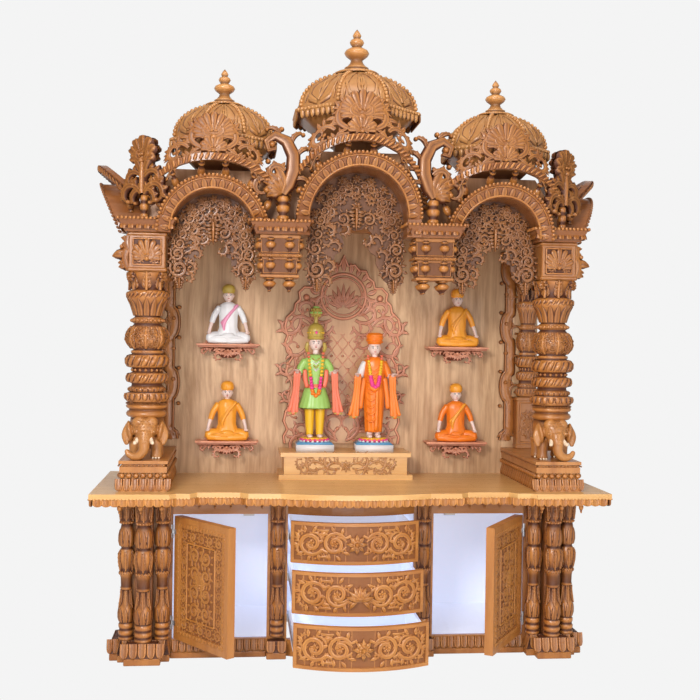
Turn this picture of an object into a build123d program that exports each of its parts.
from build123d import *
import os
from math import cos, radians, sin

os.makedirs("parts", exist_ok=True)

# A carved teak household shrine: a cabinet with two doors and three bowed drawers,
# a counter, two elephants carrying columns, three torana arches, curved eaves and
# three ribbed domes. Millimetres, +Z up, -Y is the front. X = 0 is the middle.

# Counter
counter_overhang = 127.0
counter_depth = 800.0
counter_top_z = 760.0
counter_slab = 24.0
petal_height = 26.0
petal_thickness = 14.0
bow_half = 330.0
bow_rise = 58.0
mid_set_back = 20.0
recess_set_back = 58.0
mid_from, recess_from = 470.0, 505.0
recess_inset, mid_inset = 110.0, 20.0
corner_start = 5.0

# Cabinet
cabinet_set_back = 205.0
board = 18.0
rail_thickness = 22.0
side_outer = 1018.0
post_width = 218.0
stile_outer = 378.0
stile_inner = 288.0
opening_bottom = 83.0
opening_top = 642.0
drawer_zone_bottom = 76.0
moving_gap = 6.0
plinth_block_height = 80.0
back_panel = 12.0

# Doors and their hinges
door_thickness = 38.0
door_frame = 46.0
door_recess = 7.0
left_door_open = 54.0
right_door_open = 58.0
latch_gap = 8.0
hinge_side_gap = 6.0
knuckle_radius = 4.7
knuckle_offset = 5.0
knuckle_gap = 0.3
hinge_length = 60.0

# Drawers, from top to bottom, and how far each stands open
drawer_names = ("top", "middle", "bottom")
drawer_open = (155.0, 295.0, 440.0)
drawer_half = 282.0
drawer_bow = 75.0
bow_steps = 12
drawer_front_thickness = 24.0
drawer_end_gap = 59.0
drawer_side = 12.0
drawer_bottom = 8.0
drawer_box_height = 120.0
drawer_frame = 14.0
drawer_recess = 6.0
knob_radius = 30.0
knob_reach = 14.0
runner_thickness = 6.0
runner_height = 36.0
runner_gap = 0.4

# Elephant plinths, elephants and columns
plinth_width = 211.0
plinth_overhang = 13.0
plinth_set_back = 87.0
plinth_height = 133.0
elephant_height = 247.0
column_inset = 94.0
column_set_back = 210.0
column_radius = 88.0
column_height = 500.0
block_half = 79.0
block_height = 175.0
column_top_z = 1714.0

# Back wall
wall_set_back = 735.0
wall_thickness = 25.0
wall_inset = 15.0
rear_column_depth = 66.0
rear_column_width = 118.0

# Arches and their moulded caps. Everything above the caps leans outwards as it rises.
side_arch_seat = 21.5
centre_arch_seat = 39.0
centre_arch_rise = 78.0
cap_bottom_z = 1889.0
cap_height = 58.0
cap_flare = 30.0
cap_lip = 16.0
arch_lean = 0.4
end_arch_lean = 0.6
arch_steps = 16
pendant_x = 345.0
pendant_half = 89.0
pendant_set_back = 92.0
pendant_depth = 130.0
pendant_stage = 90.0
pendant_drop = 61.0
board_thickness = 20.0
side_board_top_z = 2180.0
centre_board_top_z = 2280.0
toran_thickness = 16.0
lobe_swell = 0.14
side_toran_drop = 190.0
centre_toran_drop = 277.0

# Curved rails above the arches, carried by turned spindles
rail_size = 30.0
rail_valley_z = 2022.0
side_rail_crown_z = 2208.0
centre_rail_crown_z = 2312.0
side_rail_spread = 104.0
centre_rail_spread = 95.0
rail_reach = 180.0
end_rail_reach = 220.0
rail_steps = 18
spindle_radius = 13.0
spindle_seat = 55.0
spindles_each = 6
valley_finial_x = 335.0
valley_finial_reach = 105.0
valley_post = 127.0
valley_leaf = (75.0, 270.0)
corner_finial_shift = 16.0
corner_finial_reach = 62.0
corner_post_height = 118.0
corner_leaf = (77.0, 250.0)
corner_leaf_turn = 40.0
rear_finial_inset = 70.0
rear_finial_reach = 30.0
rear_post = 40.0
rear_leaf = (70.0, 205.0)
leaf_thickness = 22.0
crest_thickness = 22.0
crest_reach = 7
crest_notch = 0.84
side_crest_rise = 205.0
centre_crest_rise = 225.0

# Roof and domes
roof_bottom = 1965.0
roof_thickness = 18.0
dome_set_back = 340.0
dome_sides = 8
dome_rings = 6
dome_neck = 0.36
dome_bowl = 150.0
rib_angle = 3.5
left_dome_shift, centre_dome_shift, right_dome_shift = 39.0, 7.0, 28.0
dome_radius = 250.0
dome_rim_z = 2318.0
dome_rise = 165.0
dome_finial = 172.0
centre_dome_radius = 300.0
centre_rim_z = 2467.0
centre_dome_rise = 182.0
centre_finial = 216.0

# Throne, shelves and figures
throne_half = 322.0
throne_set_back = 467.0
throne_height = 129.0
shelf_inset = 18.5
shelf_half = 154.0
shelf_depth = 110.0
shelf_thickness = 17.0
bracket_half = 105.0
bracket_height = 62.0
halo_half = 294.0
halo_thickness = 16.0
halo_spring_z = 1600.0
halo_disc_z = 1648.0
halo_disc_radius = 114.0
upper_shelf_z = 1403.0
lower_shelf_z = 928.0

figure_x = 145.0
figure_set_back = 600.0
pedestal_half = 91.0
pedestal_height = 62.0

# Widths that follow from the cabinet's
post_inner = side_outer - post_width
counter_width = 2 * (side_outer + counter_overhang)
plinth_outer = side_outer + plinth_overhang
plinth_inner = plinth_outer - plinth_width
column_x = side_outer - column_inset
wall_half = side_outer - wall_inset
recess_to = post_inner - recess_inset
mid_to = post_inner - mid_inset
corner_from = post_inner + corner_start
side_arch_x = (column_x - block_half + pendant_x + pendant_half) / 2
side_arch_radius = (column_x - block_half - pendant_x - pendant_half) / 2 - side_arch_seat
centre_arch_radius = pendant_x - pendant_half - centre_arch_seat
side_rail_half = side_arch_radius + side_rail_spread
centre_rail_half = centre_arch_radius + centre_rail_spread
shelf_x = (halo_half + wall_half - rear_column_width) / 2 - shelf_inset
drawer_box_length = counter_depth - cabinet_set_back - drawer_front_thickness - back_panel - drawer_end_gap

# Places that follow from the sizes above. The origin is the middle of the footprint
# with the bottom drawer drawn out as far as it stands.
drawer_reach = drawer_open[2] + drawer_bow + knob_reach - cabinet_set_back
total_depth = counter_depth + drawer_reach
front = drawer_reach - total_depth / 2
back = total_depth / 2
cabinet_front = front + cabinet_set_back
counter_bottom = counter_top_z - counter_slab - petal_height
wall_front = front + wall_set_back
column_y = front + column_set_back
block_front = column_y - block_half
block_back = column_y + block_half
board_front = column_y
throne_top = counter_top_z + throne_height
cap_top_z = cap_bottom_z + cap_height
roof_top = roof_bottom + roof_thickness


def write(piece, name):
    """Labels a finished piece and writes its STEP file."""
    piece.label = name
    export_step(piece, f"parts/{name}.step")


def slab(x, y, z, mode=Mode.ADD):
    """A board given by its lowest and highest value along each axis."""
    middle = ((x[0] + x[1]) / 2, (y[0] + y[1]) / 2, (z[0] + z[1]) / 2)
    with Locations(middle):
        Box(x[1] - x[0], y[1] - y[0], z[1] - z[0], mode=mode)


def pair(x, y, z, mode=Mode.ADD):
    """Two boards, one each side of X = 0."""
    slab(x, y, z, mode)
    slab((-x[1], -x[0]), y, z, mode)


def facing_front(y=0.0, x=0.0):
    """A vertical plane seen from the front: local X is X and local Y is height."""
    return Plane(origin=(x, y, 0), x_dir=(1, 0, 0), z_dir=(0, -1, 0))


def facing_side(x, y=0.0):
    """A vertical plane seen from the right: local X is Y and local Y is height."""
    return Plane(origin=(x, y, 0), x_dir=(0, 1, 0), z_dir=(1, 0, 0))


def skin(rings):
    """A closed solid of flat faces through rings that have the same number of corners."""
    faces = [Face(Wire.make_polygon(ring, close=True)) for ring in (rings[0], rings[-1])]
    for low, high in zip(rings, rings[1:]):
        for i in range(len(low)):
            j = (i + 1) % len(low)
            corners = [Vector(*p) for p in (low[i], low[j], high[j], high[i])]
            across = (corners[1] - corners[0]).cross(corners[3] - corners[0])
            twist = across.normalized().dot(corners[2] - corners[0]) if across.length > 0 else 1
            if abs(twist) < 1e-6:
                faces.append(Face(Wire.make_polygon(corners, close=True)))
            else:
                faces.append(Face(Wire.make_polygon([corners[0], corners[1], corners[2]], close=True)))
                faces.append(Face(Wire.make_polygon([corners[0], corners[2], corners[3]], close=True)))
    solid = Solid(Shell(faces))
    add(solid if solid.volume > 0 else Solid(Shell([-face for face in faces])))


def even(sides):
    """Corners of a regular plan, as (share of the radius, degrees)."""
    return [(1.0, 360 * (i + 0.5) / sides) for i in range(sides)]


def turned(x, y, outline, plan):
    """A turned solid on a vertical axis from (radius, height) pairs, bottom to top."""
    skin([
        [
            (x + radius * share * cos(radians(angle)), y + radius * share * sin(radians(angle)), height)
            for share, angle in plan
        ]
        for radius, height in outline
    ])


def frustum(x, y, low, high):
    """A block that widens or narrows: half sizes and height at the bottom and at the top."""
    skin([
        [(x - a, y - b, z), (x + a, y - b, z), (x + a, y + b, z), (x - a, y + b, z)]
        for a, b, z in (low, high)
    ])


def scalloped(points, bulge):
    """The points of a chain of lobes, each swelling to its left between two given points."""
    chain = [points[0]]
    for a, b in zip(points, points[1:]):
        crown = (
            (a[0] + b[0]) / 2 - (b[1] - a[1]) * bulge,
            (a[1] + b[1]) / 2 + (b[0] - a[0]) * bulge,
        )
        chain += [crown, b]
    return chain


def scaled(outline, radius, bottom, height):
    """Stretches a unit outline to a radius and a height."""
    return [(r * radius, bottom + h * height) for r, h in outline]


def mirrored(piece):
    """The same piece on the other side of the shrine."""
    return mirror(piece, about=Plane.YZ)


# Turned outlines as shares of the widest radius and of the height
baluster_outline = [
    (0.95, 0.0), (0.78, 0.05), (0.96, 0.18), (0.68, 0.34), (0.92, 0.385),
    (0.72, 0.43), (0.97, 0.54), (0.60, 0.68), (0.95, 0.73), (1.0, 1.0),
]
column_outline = [
    (0.91, 0.0), (1.05, 0.05), (0.84, 0.095), (0.90, 0.125), (0.76, 0.16), (1.0, 0.22), (0.75, 0.26),
    (0.95, 0.32), (1.03, 0.37), (0.95, 0.415), (0.77, 0.43), (0.70, 0.47), (0.98, 0.54), (1.0, 0.60),
    (0.68, 0.69), (0.80, 0.724), (0.64, 0.76), (0.82, 0.864), (1.05, 0.93), (0.98, 0.98), (0.77, 1.0),
]
small_baluster_outline = [(0.9, 0.0), (0.55, 0.2), (1.0, 0.5), (0.55, 0.8), (0.9, 1.0)]
drop_outline = [(0.15, 0.0), (0.25, 0.3), (1.0, 0.6), (0.45, 0.85), (0.7, 1.0)]
finial_outline = [
    (1.0, 0.0), (0.55, 0.10), (0.28, 0.32), (0.56, 0.48), (0.22, 0.62), (0.32, 0.73),
    (0.16, 0.80), (0.04, 1.0),
]


# Counter
def counter_edge():
    """The counter's front edge from the end of the bow to the right corner."""
    return [
        (bow_half, front + mid_set_back), (mid_from, front + mid_set_back),
        (recess_from, front + recess_set_back), (recess_to, front + recess_set_back),
        (mid_to - 60, front + mid_set_back), (mid_to, front + mid_set_back),
        (corner_from, front), (counter_width / 2, front),
    ]


def counter_face(inset):
    """The counter's plan, drawn in by inset on the front and the sides."""
    right = [(min(x, counter_width / 2 - inset), y + inset) for x, y in counter_edge()]
    left = [(-x, y) for x, y in reversed(right)]
    bow_crown = (0, front + mid_set_back - bow_rise + inset)
    with BuildLine() as edge:
        ThreePointArc(left[-1], bow_crown, right[0])
        Polyline(*right, (right[-1][0], back), (left[0][0], back), *left)
    make_face(edge.edges())


with BuildPart() as counter:
    with BuildSketch(Plane.XY.offset(counter_top_z - counter_slab)):
        counter_face(0.0)
    extrude(amount=counter_slab)
    with BuildSketch(Plane.XY.offset(counter_bottom)):
        counter_face(petal_thickness)
    extrude(amount=petal_height)
write(counter.part, "counter_top")

# Cabinet carcase
rail_back = cabinet_front + rail_thickness
sill_top = drawer_zone_bottom
with BuildPart() as walls:
    pair((side_outer - board, side_outer), (rail_back, back), (0, counter_bottom))
    pair((stile_inner, stile_inner + board), (rail_back, back), (0, counter_bottom))
write(walls.part, "cabinet_walls")

with BuildPart() as rear:
    pair(
        (stile_inner + board, side_outer - board),
        (back - back_panel, back),
        (opening_bottom, counter_bottom),
    )
    slab((-stile_inner, stile_inner), (back - back_panel, back), (0, counter_bottom))
write(rear.part, "cabinet_back")

with BuildPart() as floors:
    pair(
        (stile_inner + board, side_outer - board),
        (rail_back, back),
        (opening_bottom - board, opening_bottom),
    )
write(floors.part, "cabinet_floors")


def bow_points(half, y):
    """Points along the drawers' shallow bow, from left to right, with its ends at y."""
    shares = [2 * i / bow_steps - 1 for i in range(bow_steps + 1)]
    return [(half * share, y - drawer_bow * (1 - share**2)) for share in shares]


def bowed_face(half, y_front, y_back):
    """A plan strip whose front follows the drawers' bow and whose back is straight."""
    with BuildLine() as edge:
        Polyline(*bow_points(half, y_front), (half, y_back), (-half, y_back), close=True)
    make_face(edge.edges())


with BuildPart() as rails:
    pair((stile_inner, post_inner), (cabinet_front, rail_back), (opening_top, counter_bottom))
    pair((stile_inner, post_inner), (cabinet_front, rail_back), (0, opening_bottom))
    pair((stile_inner, stile_outer), (cabinet_front, rail_back), (opening_bottom, opening_top))
    for low, high in ((0, sill_top), (opening_top, counter_bottom)):
        with BuildSketch(Plane.XY.offset(low)):
            bowed_face(stile_inner, cabinet_front, rail_back)
        extrude(amount=high - low)
write(rails.part, "face_frame")

# Corner posts: a board with three engaged turned balusters on a stepped block
baluster_places = (
    (post_inner + 42, cabinet_front - 24, 33.0),
    (post_inner + 121, cabinet_front - 66, 38.0),
    (side_outer - 18, cabinet_front - 24, 33.0),
)
block_top = plinth_block_height + petal_thickness
with BuildPart() as post:
    slab((post_inner, side_outer), (cabinet_front, rail_back), (0, counter_bottom))
    slab((post_inner + 6, side_outer + 14), (cabinet_front - 62, cabinet_front), (0, block_top))
    slab((post_inner + 42, side_outer - 18), (cabinet_front - 116, cabinet_front - 62), (0, block_top))
    slab((side_outer, side_outer + 52), (cabinet_front - 33, cabinet_front + 130), (0, block_top))
    slab(
        (post_inner + 83, post_inner + 159),
        (cabinet_front - 60, cabinet_front),
        (block_top, counter_bottom),
    )
    for x, y, radius in baluster_places:
        turned(x, y, scaled(baluster_outline, radius, block_top, counter_bottom - block_top), even(8))
write(post.part, "corner_post_right")
write(mirrored(post.part), "corner_post_left")

# Doors
door_hinge_y = cabinet_front - knuckle_offset
door_inner = stile_outer + latch_gap
door_outer = post_inner - hinge_side_gap
door_bottom = opening_bottom + moving_gap
door_top = opening_top - moving_gap
with BuildPart() as door:
    slab((door_inner, door_outer), (cabinet_front, cabinet_front + door_thickness), (door_bottom, door_top))
    slab(
        (door_inner + door_frame, door_outer - door_frame),
        (cabinet_front, cabinet_front + door_recess),
        (door_bottom + door_frame, door_top - door_frame),
        Mode.SUBTRACT,
    )
    slab(
        (door_inner + door_frame + 55, door_outer - door_frame - 55),
        (cabinet_front + door_recess - 4, cabinet_front + door_recess),
        (door_bottom + door_frame + 70, door_top - door_frame - 70),
    )
hinge_axis = Axis((post_inner, door_hinge_y, 0), (0, 0, 1))
hinge_heights = (door_bottom + 70, door_top - 70)


def knuckle(z, half):
    """A hinge knuckle round the right door's axis, half above and half below z."""
    turned(post_inner, door_hinge_y, [(knuckle_radius, z - half), (knuckle_radius, z + half)], even(10))


with BuildPart() as door_knuckles:
    for z in hinge_heights:
        knuckle(z, hinge_length / 6 - knuckle_gap)
        slab(
            (door_outer - 12, post_inner - 2),
            (cabinet_front - 2, cabinet_front),
            (z - hinge_length / 6 + knuckle_gap, z + hinge_length / 6 - knuckle_gap),
        )
with BuildPart() as post_knuckles:
    for z in hinge_heights:
        for side in (-1, 1):
            knuckle(z + side * hinge_length / 3, hinge_length / 6)
            low = z + side * hinge_length / 3 - hinge_length / 6
            slab(
                (post_inner + 1, post_inner + 7),
                (cabinet_front - 2, cabinet_front),
                (low, low + hinge_length / 3),
            )
door_right = door.part.rotate(hinge_axis, right_door_open)
door_left = mirrored(door.part.rotate(hinge_axis, left_door_open))
write(door_right, "door_right")
write(door_left, "door_left")
write(door_knuckles.part.rotate(hinge_axis, right_door_open), "door_right_hinges")
write(mirrored(door_knuckles.part.rotate(hinge_axis, left_door_open)), "door_left_hinges")
both = Compound(children=[*post_knuckles.part.solids(), *mirrored(post_knuckles.part).solids()])
write(both, "post_hinges")

# Catches inside the cabinets
with BuildPart() as catches:
    pair(
        (stile_outer + 60, stile_outer + 110),
        (cabinet_front + door_thickness + moving_gap, cabinet_front + door_thickness + moving_gap + 26),
        (counter_bottom - 84, counter_bottom),
    )
write(catches.part, "door_catches")

# Drawers
front_height = (opening_top - sill_top - 4 * moving_gap) / 3
box_half = stile_inner - 2 * runner_thickness - runner_gap
for i, name in enumerate(drawer_names):
    bottom = opening_top - (i + 1) * (front_height + moving_gap)
    y = cabinet_front - drawer_open[i]
    front_back = y + drawer_front_thickness
    with BuildPart() as drawer_front:
        with BuildSketch(Plane.XY.offset(bottom)):
            with BuildLine():
                Polyline(
                    *bow_points(drawer_half, y),
                    *reversed(bow_points(drawer_half, front_back)),
                    close=True,
                )
            make_face()
        extrude(amount=front_height)
        with BuildSketch(Plane.XY.offset(bottom + drawer_frame)):
            with BuildLine():
                Polyline(
                    *bow_points(drawer_half, y + drawer_recess),
                    (drawer_half, y - 90),
                    (-drawer_half, y - 90),
                    close=True,
                )
            make_face()
            with Locations((0, y)):
                Rectangle(2 * (drawer_half - drawer_frame), 600, mode=Mode.INTERSECT)
        extrude(amount=front_height - 2 * drawer_frame, mode=Mode.SUBTRACT)
        knob_z = bottom + front_height / 2
        face_y = y - drawer_bow + drawer_recess
        with BuildSketch(facing_front(face_y + 3)):
            with Locations((0, knob_z)):
                RegularPolygon(knob_radius, 10)
        extrude(amount=11)
        with BuildSketch(facing_front(face_y - 8)):
            with Locations((0, knob_z)):
                RegularPolygon(knob_radius * 0.6, 10)
        extrude(amount=12)
    write(drawer_front.part, f"drawer_{name}_front")
    box_bottom = bottom + 24
    box_back = front_back + drawer_box_length
    with BuildPart() as box:
        with BuildSketch(Plane.XY.offset(box_bottom)):
            with BuildLine():
                Polyline(
                    *bow_points(drawer_half, front_back),
                    (drawer_half, box_back),
                    (-drawer_half, box_back),
                    close=True,
                )
            make_face()
            with Locations((0, (front_back + box_back) / 2)):
                Rectangle(2 * box_half, 2 * drawer_box_length, mode=Mode.INTERSECT)
        extrude(amount=drawer_bottom)
        pair(
            (box_half - drawer_side, box_half),
            (front_back, box_back),
            (box_bottom, box_bottom + drawer_box_height),
        )
        slab(
            (-box_half, box_half),
            (box_back - drawer_side, box_back),
            (box_bottom, box_bottom + drawer_box_height),
        )
    write(box.part, f"drawer_{name}_box")
    runner_low = box_bottom + (drawer_box_height - runner_height) / 2
    with BuildPart() as runners:
        pair(
            (box_half, box_half + runner_thickness),
            (front_back + 20, box_back),
            (runner_low, runner_low + runner_height),
        )
    write(runners.part, f"drawer_{name}_runners")

with BuildPart() as fixed_runners:
    for i, name in enumerate(drawer_names):
        bottom = opening_top - (i + 1) * (front_height + moving_gap)
        low = bottom + 24 + (drawer_box_height - runner_height) / 2
        pair(
            (stile_inner - runner_thickness, stile_inner),
            (rail_back, rail_back + drawer_box_length),
            (low, low + runner_height),
        )
write(fixed_runners.part, "cabinet_runners")

# Elephant plinths
plinth_y = (front + plinth_set_back, wall_front)
plinth_top = counter_top_z + plinth_height
with BuildPart() as plinth:
    slab((plinth_inner, plinth_outer), plinth_y, (counter_top_z, counter_top_z + 26))
    for inset, low, high in ((14, counter_top_z, plinth_top), (4, plinth_top - 52, plinth_top - 26)):
        slab((plinth_inner + inset, plinth_outer - inset), (plinth_y[0] + inset, plinth_y[1]), (low, high))
    slab((plinth_inner, plinth_outer), plinth_y, (plinth_top - 14, plinth_top))
write(plinth.part, "elephant_plinth_right")
write(mirrored(plinth.part), "elephant_plinth_left")

def lying_ring(y, z, radius, sides):
    """An upright ring of corners across the elephant's length."""
    return [
        (
            column_x + radius * cos(radians(360 * (i + 0.5) / sides)),
            y,
            z + radius * sin(radians(360 * (i + 0.5) / sides)),
        )
        for i in range(sides)
    ]


# Elephants, with heads and trunks to the front and their tails to the wall
elephant_top = plinth_top + elephant_height
with BuildPart() as elephant:
    for dx in (-48, 48):
        for dy in (-62, 62):
            turned(
                column_x + dx,
                column_y + dy,
                [(34, plinth_top), (27, plinth_top + 40), (30, plinth_top + 120)],
                even(8),
            )
    body = (
        (-98, 156, 50), (-80, 162, 68), (-20, 164, 82), (50, 162, 80), (92, 150, 58), (104, 142, 36),
    )
    skin([lying_ring(column_y + dy, plinth_top + dz, radius, 8) for dy, dz, radius in body])
    head = ((-84, 172, 60), (-104, 176, 56), (-122, 172, 38), (-130, 166, 22))
    skin([lying_ring(column_y + dy, plinth_top + dz, radius, 8) for dy, dz, radius in head])
    trunk = (
        (0, -112, 160, 27), (4, -120, 118, 22), (12, -124, 78, 17), (30, -126, 50, 14), (52, -126, 46, 11),
    )
    skin([
        [
            (
                column_x + dx + radius * cos(radians(60 * i)),
                column_y + dy + radius * sin(radians(60 * i)),
                plinth_top + dz,
            )
            for i in range(6)
        ]
        for dx, dy, dz, radius in trunk
    ])
    for side in (-1, 1):
        skin([
            [
                (column_x + side * (50 + dx), column_y + dy, plinth_top + 176 + dz)
                for dx, dz in ((0, 34), (38, 26), (34, -28), (0, -44))
            ]
            for dy in (-92, -82)
        ])
    turned(column_x, column_y, [(78, plinth_top + 190), (column_radius, elephant_top)], even(16))
write(elephant.part, "elephant_right")
write(mirrored(elephant.part), "elephant_left")

# Columns, each with a capital and a square block
block_top_z = column_top_z + block_height
with BuildPart() as column:
    turned(
        column_x,
        column_y,
        scaled(column_outline, column_radius, elephant_top, column_height),
        even(12),
    )
    slab(
        (column_x - block_half + 8, column_x + block_half - 8),
        (block_front + 8, block_back - 8),
        (elephant_top + column_height, column_top_z),
    )
    slab(
        (column_x - block_half, column_x + block_half),
        (block_front, block_back),
        (column_top_z, block_top_z),
    )
    slab(
        (column_x - block_half + 22, column_x + block_half - 22),
        (block_front, block_front + 6),
        (column_top_z + 22, block_top_z - 22),
        Mode.SUBTRACT,
    )
write(column.part, "column_right")
write(mirrored(column.part), "column_left")

# Rear columns, one at each end of the back wall
rear_y = (wall_front - rear_column_depth, wall_front)
rear_x = wall_half - rear_column_width / 2
pedestal_top = plinth_top + 260
with BuildPart() as rear_columns:
    pair((wall_half - rear_column_width, wall_half), rear_y, (plinth_top, pedestal_top))
    pair((wall_half - rear_column_width, wall_half), rear_y, (column_top_z, cap_bottom_z))
    for x in (-rear_x, rear_x):
        turned(
            x,
            (rear_y[0] + rear_y[1]) / 2,
            scaled(baluster_outline, rear_column_depth / 2, pedestal_top, column_top_z - pedestal_top),
            even(8),
        )
write(rear_columns.part, "rear_columns")

# Back wall, with a plain board behind the carcase and the arches
with BuildPart() as wall:
    slab((-wall_half, wall_half), (wall_front, wall_front + wall_thickness), (counter_top_z, roof_bottom))
write(wall.part, "back_wall")


# Arches. A ring of moulding whose face flares outwards and leans out as it rises.
def arch_ring(x, rise, radius, slope):
    """Arch centred on x; its centre is rise above the caps' underside and it leans by slope."""
    rings = []
    for i in range(arch_steps + 1):
        angle = 180 * i / arch_steps
        c, s = cos(radians(angle)), sin(radians(angle))
        lean = slope * (rise + radius * s)
        rings.append([
            (x + r * c, board_front - depth - (lean if depth else 0), cap_bottom_z + rise + r * s)
            for r, depth in (
                (radius, 0.0),
                (radius, board_front - block_front + cap_lip),
                (radius + cap_height, board_front - block_front + cap_lip + cap_flare),
                (radius + cap_height, 0.0),
            )
        ])
    if rise:
        for at_start in (True, False):
            foot_ring = [(p[0], p[1], cap_bottom_z) for p in (rings[0] if at_start else rings[-1])]
            rings = [foot_ring] + rings if at_start else rings + [foot_ring]
    skin(rings)


def cap(x, y, half_x, half_y):
    """A flared cap over a block, with a flat top."""
    frustum(
        x,
        y,
        (half_x + cap_lip, half_y + cap_lip, cap_bottom_z),
        (half_x + cap_lip + cap_flare, half_y + cap_lip + cap_flare, cap_top_z),
    )


pendant_y = front + pendant_set_back + pendant_depth / 2
with BuildPart() as front_arches:
    arch_ring(-side_arch_x, 0.0, side_arch_radius, arch_lean)
    arch_ring(0.0, centre_arch_rise, centre_arch_radius, arch_lean)
    arch_ring(side_arch_x, 0.0, side_arch_radius, arch_lean)
    for side in (-1, 1):
        cap(side * column_x, column_y, block_half, block_half)
        cap(side * pendant_x, pendant_y, pendant_half, pendant_depth / 2)
write(front_arches.part, "front_arches")

# End arches, the same moulding turned to face sideways
side_span = (block_back, rear_y[0])
side_middle = (side_span[0] + side_span[1]) / 2
side_half = (side_span[1] - side_span[0]) / 2
side_rail_half_depth = side_middle - board_front - board_thickness
with BuildPart() as end_arch:
    arch_ring(0.0, 0.0, side_half, end_arch_lean)
end_arch_right = end_arch.part.rotate(Axis((0, board_front, 0), (0, 0, 1)), 90)
end_arch_right = end_arch_right.moved(Location((column_x, side_middle - board_front, 0)))
with BuildPart() as side_arches:
    add(end_arch_right)
    add(mirrored(end_arch_right))
    for side in (-1, 1):
        frustum(
            side * rear_x,
            (rear_y[0] + rear_y[1]) / 2,
            (rear_column_width / 2 + cap_lip, rear_column_depth / 2, cap_bottom_z),
            (rear_column_width / 2 + cap_lip + cap_flare, rear_column_depth / 2, cap_top_z),
        )
    add(front_arches.part, mode=Mode.SUBTRACT)
write(side_arches.part, "side_arches")

# Upright boards behind the arches, with the roof on them
board_back = board_front + board_thickness


def arch_head(x, rise, radius):
    """Points of an arch's chords, from its right foot over to its left foot."""
    angles = [radians(180 * i / arch_steps) for i in range(arch_steps + 1)]
    return [(x + radius * cos(a), cap_bottom_z + rise + radius * sin(a)) for a in angles]


def arch_opening(x, rise, radius):
    """An arch-headed opening down to below the caps, in the current sketch."""
    below = cap_bottom_z - 50
    with BuildLine() as edge:
        Polyline(*arch_head(x, rise, radius), (x - radius, below), (x + radius, below), close=True)
    make_face(edge.edges(), mode=Mode.SUBTRACT)


with BuildPart() as board:
    with BuildSketch(facing_front(board_front)):
        with BuildLine():
            Polyline(
                (0, cap_bottom_z), (column_x + 10, cap_bottom_z), (column_x + 10, rail_valley_z - 10),
                (side_arch_x + 190, side_board_top_z), (side_arch_x - 190, side_board_top_z),
                (pendant_x, rail_valley_z + 10), (200, centre_board_top_z), (0, centre_board_top_z),
                close=True,
            )
        make_face()
        mirror(about=Plane.YZ)
        arch_opening(-side_arch_x, 0, side_arch_radius)
        arch_opening(0, centre_arch_rise, centre_arch_radius)
        arch_opening(side_arch_x, 0, side_arch_radius)
    extrude(amount=-board_thickness)
    add(front_arches.part, mode=Mode.SUBTRACT)
write(board.part, "front_board")

with BuildPart() as side_boards:
    with BuildSketch(facing_side(column_x - board_thickness)):
        with BuildLine():
            Polyline(
                (board_back, cap_bottom_z), (rear_y[0], cap_bottom_z), (rear_y[0], rail_valley_z - 10),
                (side_middle + 150, side_board_top_z), (side_middle - 150, side_board_top_z),
                (board_back, rail_valley_z - 10), close=True,
            )
        make_face()
        arch_opening(side_middle, 0, side_half)
    extrude(amount=board_thickness)
    mirror(about=Plane.YZ)
    add(front_arches.part, mode=Mode.SUBTRACT)
    add(side_arches.part, mode=Mode.SUBTRACT)
write(side_boards.part, "side_boards")

# Hanging pendants between the arches, two stages with turned drops
stage_bottom = cap_bottom_z - pendant_stage
lower_bottom = stage_bottom - pendant_stage
with BuildPart() as pendant:
    for half, low, high in (
        (pendant_half, stage_bottom, cap_bottom_z),
        (pendant_half + 6, stage_bottom - 8, stage_bottom),
        (pendant_half - 9, lower_bottom, stage_bottom),
        (pendant_half - 3, lower_bottom - 8, lower_bottom),
    ):
        reach = pendant_depth / 2 + half - pendant_half
        slab((pendant_x - half, pendant_x + half), (pendant_y - reach, pendant_y + reach), (low, high))
    for dx in (-40, 40):
        for dy in (-30, 30):
            turned(
                pendant_x + dx,
                pendant_y + dy,
                scaled(drop_outline, 20, lower_bottom - 8 - pendant_drop, pendant_drop),
                even(6),
            )
write(pendant.part, "pendant_right")
write(mirrored(pendant.part), "pendant_left")


# Carved screens hanging in the arches, lobed on their inner side
def toran_outline(radius, drop):
    """Right half of a screen's lobed inner edge, from the low lobe to the middle leaf."""
    return [
        (radius, -drop), (radius * 0.76, -drop * 1.04), (radius * 0.52, -drop * 0.80),
        (radius * 0.44, -drop * 0.56), (radius * 0.24, -drop * 0.38), (radius * 0.36, -drop * 0.20),
        (radius * 0.24, -drop * 0.04), (0, -drop * 0.15),
    ]


def toran(x, y, rise, radius, drop):
    """A screen that fills an arch's head, with swelling lobes along its open edge."""
    right = toran_outline(radius, drop)
    left = [(-px, pz) for px, pz in reversed(right[:-1])]
    edge = scalloped([(x + px, cap_bottom_z + rise + pz) for px, pz in right + left], lobe_swell)
    with BuildSketch(facing_front(y)) as outline:
        with BuildLine():
            Polyline(*arch_head(x, rise, radius), *reversed(edge), close=True)
        make_face()
    extrude(outline.sketch, amount=-toran_thickness)


with BuildPart() as torans:
    toran(-side_arch_x, board_front, 0.0, side_arch_radius, side_toran_drop)
    toran(0.0, board_front, centre_arch_rise, centre_arch_radius, centre_toran_drop)
    toran(side_arch_x, board_front, 0.0, side_arch_radius, side_toran_drop)
    add(front_arches.part, mode=Mode.SUBTRACT)
write(torans.part, "torans")

with BuildPart() as end_toran:
    toran(0.0, board_front, 0.0, side_half, side_toran_drop)
end_toran_right = end_toran.part.rotate(Axis((0, board_front, 0), (0, 0, 1)), 90)
end_toran_right = end_toran_right.moved(Location((column_x, side_middle - board_front, 0)))
with BuildPart() as side_torans:
    add(end_toran_right)
    add(mirrored(end_toran_right))
    add(front_arches.part, mode=Mode.SUBTRACT)
    add(side_arches.part, mode=Mode.SUBTRACT)
write(side_torans.part, "side_torans")

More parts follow.
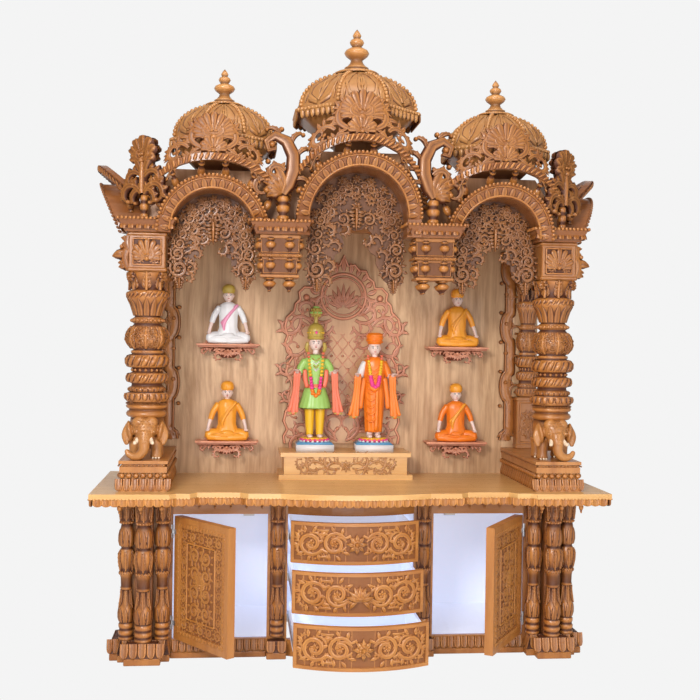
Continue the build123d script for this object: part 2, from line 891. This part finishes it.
# Curved rails that lean out above the arches, with their spindles
def rail_line(x, half, crown, reach):
    """Points of a rail's middle line across the front: it reaches furthest at its crown."""
    points = []
    for i in range(rail_steps + 1):
        angle = radians(180 * i / rail_steps)
        lift = sin(angle)
        points.append((
            x - half * cos(angle),
            board_front - rail_size / 2 - reach * lift,
            rail_valley_z + (crown - rail_valley_z) * lift,
        ))
    return points


def rail(points):
    """A square rail along points, cut across each of them."""
    half = rail_size / 2
    skin([
        [(x, y - half, z - half), (x, y + half, z - half), (x, y + half, z + half), (x, y - half, z + half)]
        for x, y, z in points
    ])


front_rails = (
    (-side_arch_x, side_rail_half, side_rail_crown_z),
    (0.0, centre_rail_half, centre_rail_crown_z),
    (side_arch_x, side_rail_half, side_rail_crown_z),
)
with BuildPart() as rails_front:
    for x, half, crown in front_rails:
        rail(rail_line(x, half, crown, rail_reach))
write(rails_front.part, "front_rails")
with BuildPart() as end_rail:
    rail(rail_line(0.0, side_rail_half_depth, side_rail_crown_z, end_rail_reach))
end_rail_right = end_rail.part.rotate(Axis((0, board_front, 0), (0, 0, 1)), 90)
end_rail_right = end_rail_right.moved(Location((column_x, side_middle - board_front, 0)))
write(Compound(children=[end_rail_right.solid(), mirrored(end_rail_right).solid()]), "side_rails")


def crest(x, half, crown, rise):
    """A carved leaf panel that stands on a rail's crown, lobed along its top."""
    line = rail_line(x, half, crown, rail_reach)
    middle = rail_steps // 2
    rings = []
    for i in range(middle - crest_reach, middle + crest_reach + 1):
        px, py, pz = line[i]
        share = abs(i - middle) / crest_reach
        lobe = 1.0 if (i - middle) % 2 == 0 else crest_notch
        low = pz + rail_size / 2
        top = low + rise * lobe * (1 - 0.75 * share**1.6)
        y = (py - crest_thickness / 2, py + crest_thickness / 2)
        rings.append([(px, y[0], low), (px, y[1], low), (px, y[1], top), (px, y[0], top)])
    skin(rings)


with BuildPart() as crests:
    for x, half, crown in front_rails:
        crest(x, half, crown, side_crest_rise if x else centre_crest_rise)
write(crests.part, "front_crests")

# Turned spindles between the mouldings and the rails
def spindle(a, b, radius):
    """A spindle from point a to just inside the rail whose middle line passes b."""
    low, high = Vector(*a), Vector(*b)
    plane = Plane(origin=low, z_dir=high - low)
    length = (high - low).length - rail_size * 0.35
    skin([
        [
            low + plane.x_dir * (r * cos(radians(72 * i))) + plane.y_dir * (r * sin(radians(72 * i)))
            + plane.z_dir * h
            for i in range(5)
        ]
        for r, h in scaled(small_baluster_outline, radius, 0, length)
    ])


def arch_spindles(x, rise, radius, half, crown, slope=arch_lean, reach=rail_reach):
    """Spindles spread over one arch, from inside the moulding's back into the rail."""
    line = rail_line(x, half, crown, reach)
    outer = radius + cap_height - 4
    for i in range(spindles_each):
        angle = radians(180 * (i + 0.9) / (spindles_each + 0.8))
        c, s = cos(angle), sin(angle)
        depth = spindle_seat + 0.6 * slope * (rise + radius * s)
        low = (x - outer * c, board_front - depth, cap_bottom_z + rise + outer * s)
        spindle(low, line[round(rail_steps * angle / radians(180))], spindle_radius)


with BuildPart() as front_spindles:
    arch_spindles(-side_arch_x, 0, side_arch_radius, side_rail_half, side_rail_crown_z)
    arch_spindles(0, centre_arch_rise, centre_arch_radius, centre_rail_half, centre_rail_crown_z)
    arch_spindles(side_arch_x, 0, side_arch_radius, side_rail_half, side_rail_crown_z)
    add(front_arches.part, mode=Mode.SUBTRACT)
    add(rails_front.part, mode=Mode.SUBTRACT)
write(front_spindles.part, "front_spindles")

with BuildPart() as end_spindles:
    arch_spindles(
        0, 0, side_half, side_rail_half_depth, side_rail_crown_z, end_arch_lean, end_rail_reach
    )
    add(end_arch.part, mode=Mode.SUBTRACT)
    add(end_rail.part, mode=Mode.SUBTRACT)
end_spindles_right = end_spindles.part.rotate(Axis((0, board_front, 0), (0, 0, 1)), 90)
end_spindles_right = end_spindles_right.moved(Location((column_x, side_middle - board_front, 0)))
both = Compound(children=[*end_spindles_right.solids(), *mirrored(end_spindles_right).solids()])
write(both, "side_spindles")

# Leaf finials: an upright carved leaf on a short turned post, one over each valley
def leaf_finial(x, y, base, post, leaf, turn):
    """A post with a lobed leaf standing on it; turn swings the leaf about the post."""
    leaf_half, leaf_height = leaf
    turned(x, y, scaled(small_baluster_outline, 17, base, post), even(5))
    outline = [
        (-0.24, 0.0), (-0.62, 0.16), (-0.50, 0.26), (-1.0, 0.46), (-0.66, 0.54), (-0.86, 0.80),
        (-0.40, 0.74), (0.0, 1.0), (0.40, 0.74), (0.86, 0.80), (0.66, 0.54), (1.0, 0.46),
        (0.50, 0.26), (0.62, 0.16), (0.24, 0.0),
    ]
    c, s = cos(radians(turn)), sin(radians(turn))
    rings = []
    for depth in (-leaf_thickness / 2, leaf_thickness / 2):
        rings.append([
            (
                x + px * leaf_half * c - depth * s,
                y + px * leaf_half * s + depth * c,
                base + post + pz * leaf_height,
            )
            for px, pz in outline
        ])
    skin(rings)


with BuildPart() as finials:
    for side in (-1, 1):
        leaf_finial(
            side * valley_finial_x, board_front - valley_finial_reach, cap_top_z, valley_post, valley_leaf, 0
        )
        leaf_finial(
            side * (column_x + corner_finial_shift),
            board_front - corner_finial_reach,
            cap_top_z,
            corner_post_height,
            corner_leaf,
            side * corner_leaf_turn,
        )
        leaf_finial(
            side * (column_x - rear_finial_inset),
            wall_front - rear_finial_reach,
            roof_top,
            rear_post,
            rear_leaf,
            0,
        )
    for neighbour in (rails_front, crests, front_spindles):
        add(neighbour.part, mode=Mode.SUBTRACT)
write(finials.part, "leaf_finials")

# Roof
with BuildPart() as roof:
    slab(
        (-column_x + board_thickness, column_x - board_thickness),
        (board_back, wall_front + wall_thickness),
        (roof_bottom, roof_top),
    )
write(roof.part, "roof")


# Domes: a drum that widens upwards, a rim, ribbed gores and a turned finial
def ribbed(sides):
    """A plan with a rib on each corner and a gore between that swells along its middle."""
    plan = []
    for i in range(sides):
        angle = 360 * (i + 0.5) / sides
        plan += [(0.98, angle - rib_angle), (1.035, angle), (0.98, angle + rib_angle)]
        plan += [(0.945, angle + 180 / sides)]
    return plan


def dome(x, radius, rim, rise, finial):
    y = front + dome_set_back
    base = roof_top
    drum = [(radius * dome_neck, base), (radius * dome_neck, rim - dome_bowl), (radius * 0.93, rim - 16)]
    turned(x, y, drum, even(dome_sides))
    turned(x, y, [(radius, rim - 16), (radius, rim + 12)], even(dome_sides))
    gores = []
    for i in range(dome_rings + 1):
        angle = radians(90 * i / dome_rings)
        gores.append((radius * (0.02 + 0.93 * max(cos(angle), 0) ** 1.1), rim + 12 + rise * sin(angle)))
    turned(x, y, gores, ribbed(dome_sides))
    turned(x, y, scaled(finial_outline, radius * 0.34, rim + 8 + rise, finial), even(8))


with BuildPart() as right_dome:
    dome(side_arch_x + right_dome_shift, dome_radius, dome_rim_z, dome_rise, dome_finial)
write(right_dome.part, "dome_right")
with BuildPart() as left_dome:
    dome(left_dome_shift - side_arch_x, dome_radius, dome_rim_z, dome_rise, dome_finial)
write(left_dome.part, "dome_left")
with BuildPart() as centre_dome:
    dome(centre_dome_shift, centre_dome_radius, centre_rim_z, centre_dome_rise, centre_finial)
write(centre_dome.part, "dome_centre")

# Carved panel on the back wall
with BuildPart() as halo:
    slab((-halo_half, halo_half), (wall_front - halo_thickness, wall_front), (throne_top + 17, halo_spring_z))
    with BuildSketch(facing_front(wall_front)):
        with Locations((0, halo_spring_z)):
            RegularPolygon(halo_half * 0.86, 24)
    extrude(amount=halo_thickness)
    with BuildSketch(facing_front(wall_front - halo_thickness)):
        with Locations((0, halo_disc_z)):
            RegularPolygon(halo_disc_radius, 24)
    extrude(amount=-6, mode=Mode.SUBTRACT)
write(halo.part, "halo_panel")

# Throne
with BuildPart() as throne:
    for inset, low, high in (
        (0, counter_top_z, counter_top_z + 24),
        (16, counter_top_z + 24, throne_top - 20),
        (5, throne_top - 20, throne_top),
    ):
        half = throne_half - 1.6 * inset
        slab((-half, half), (front + throne_set_back + inset, wall_front), (low, high))
write(throne.part, "throne")

# Wall shelves, each on a bracket that tapers to the wall
with BuildPart() as shelves:
    for z in (lower_shelf_z, upper_shelf_z):
        for x in (-shelf_x, shelf_x):
            slab(
                (x - shelf_half, x + shelf_half),
                (wall_front - shelf_depth, wall_front),
                (z - shelf_thickness, z),
            )
            with BuildSketch(facing_side(x - bracket_half)):
                with BuildLine():
                    Polyline(
                        (wall_front, z - shelf_thickness),
                        (wall_front - shelf_depth + 14, z - shelf_thickness),
                        (wall_front - 24, z - shelf_thickness - bracket_height),
                        (wall_front, z - shelf_thickness - bracket_height), close=True,
                    )
                make_face()
            extrude(amount=2 * bracket_half)
write(shelves.part, "wall_shelves")

# Figures. Two stand on the throne on small pedestals and four sit on the shelves.
def ball(x, y, z, radius, tall):
    """A head: a faceted ball, taller than wide."""
    turned(
        x,
        y,
        [(radius * sin(radians(a)), z - tall * cos(radians(a))) for a in (20, 50, 90, 130, 160)],
        even(8),
    )


def limb(points):
    """An arm or a leg through (x, y, z, radius) points, cut level across each."""
    skin([
        [(x + r * cos(radians(60 * i)), y + r * sin(radians(60 * i)), z) for i in range(6)]
        for x, y, z, r in points
    ])


def standing_figure(x, height, skirt):
    """A robed figure with its hands before its chest, on a square pedestal."""
    y = front + figure_set_back
    base = throne_top + pedestal_height
    slab((x - pedestal_half, x + pedestal_half), (y - 70, y + 70), (throne_top, throne_top + 16))
    slab((x - pedestal_half + 12, x + pedestal_half - 12), (y - 60, y + 60), (throne_top + 16, base - 14))
    slab((x - pedestal_half + 6, x + pedestal_half - 6), (y - 66, y + 66), (base - 14, base))
    for side in (-1, 1):
        limb([(x + side * 24, y, base, 20), (x + side * 26, y, base + height * 0.42, 26)])
    robe = [
        (skirt, base + height * 0.20), (skirt * 0.80, base + height * 0.34), (52, base + height * 0.54),
        (66, base + height * 0.74), (58, base + height * 0.80), (22, base + height * 0.83),
        (22, base + height * 0.86),
    ]
    turned(x, y, robe, [(0.75 if i % 4 == 0 else 1.0, 45 * i) for i in range(8)])
    ball(x, y - 4, base + height * 0.915, 38, 50)
    for side in (-1, 1):
        limb([
            (x + side * 40, y - 52, base + height * 0.60, 15),
            (x + side * 80, y - 10, base + height * 0.63, 18),
            (x + side * 62, y, base + height * 0.78, 20),
        ])
    return base + height


def seated_figure(x, z):
    """A robed figure seated cross-legged with its hands in its lap."""
    y = wall_front - shelf_depth / 2 - 4
    skin([
        [
            (x + a * cos(radians(45 * i)), y + b * sin(radians(45 * i)), h)
            for i in range(8)
        ]
        for a, b, h in (
            (100, 50, z), (108, 50, z + 26), (70, 46, z + 62), (44, 34, z + 80), (52, 34, z + 150),
            (58, 32, z + 178), (20, 20, z + 196), (18, 18, z + 206),
        )
    ])
    ball(x, y, z + 240, 31, 42)


with BuildPart() as crowned:
    top = standing_figure(-figure_x, 560.0, 84.0)
    crown = [(34, top - 30), (40, top), (30, top + 60), (6, top + 116)]
    turned(-figure_x, front + figure_set_back, crown, even(8))
write(crowned.part, "figure_left")
with BuildPart() as robed:
    top = standing_figure(figure_x, 520.0, 70.0)
    turban = [(40, top - 30), (46, top - 6), (42, top + 16), (14, top + 34)]
    turned(figure_x, front + figure_set_back, turban, even(8))
write(robed.part, "figure_right")
with BuildPart() as seated:
    for z in (lower_shelf_z, upper_shelf_z):
        for x in (-shelf_x, shelf_x):
            seated_figure(x, z)
write(seated.part, "seated_figures")
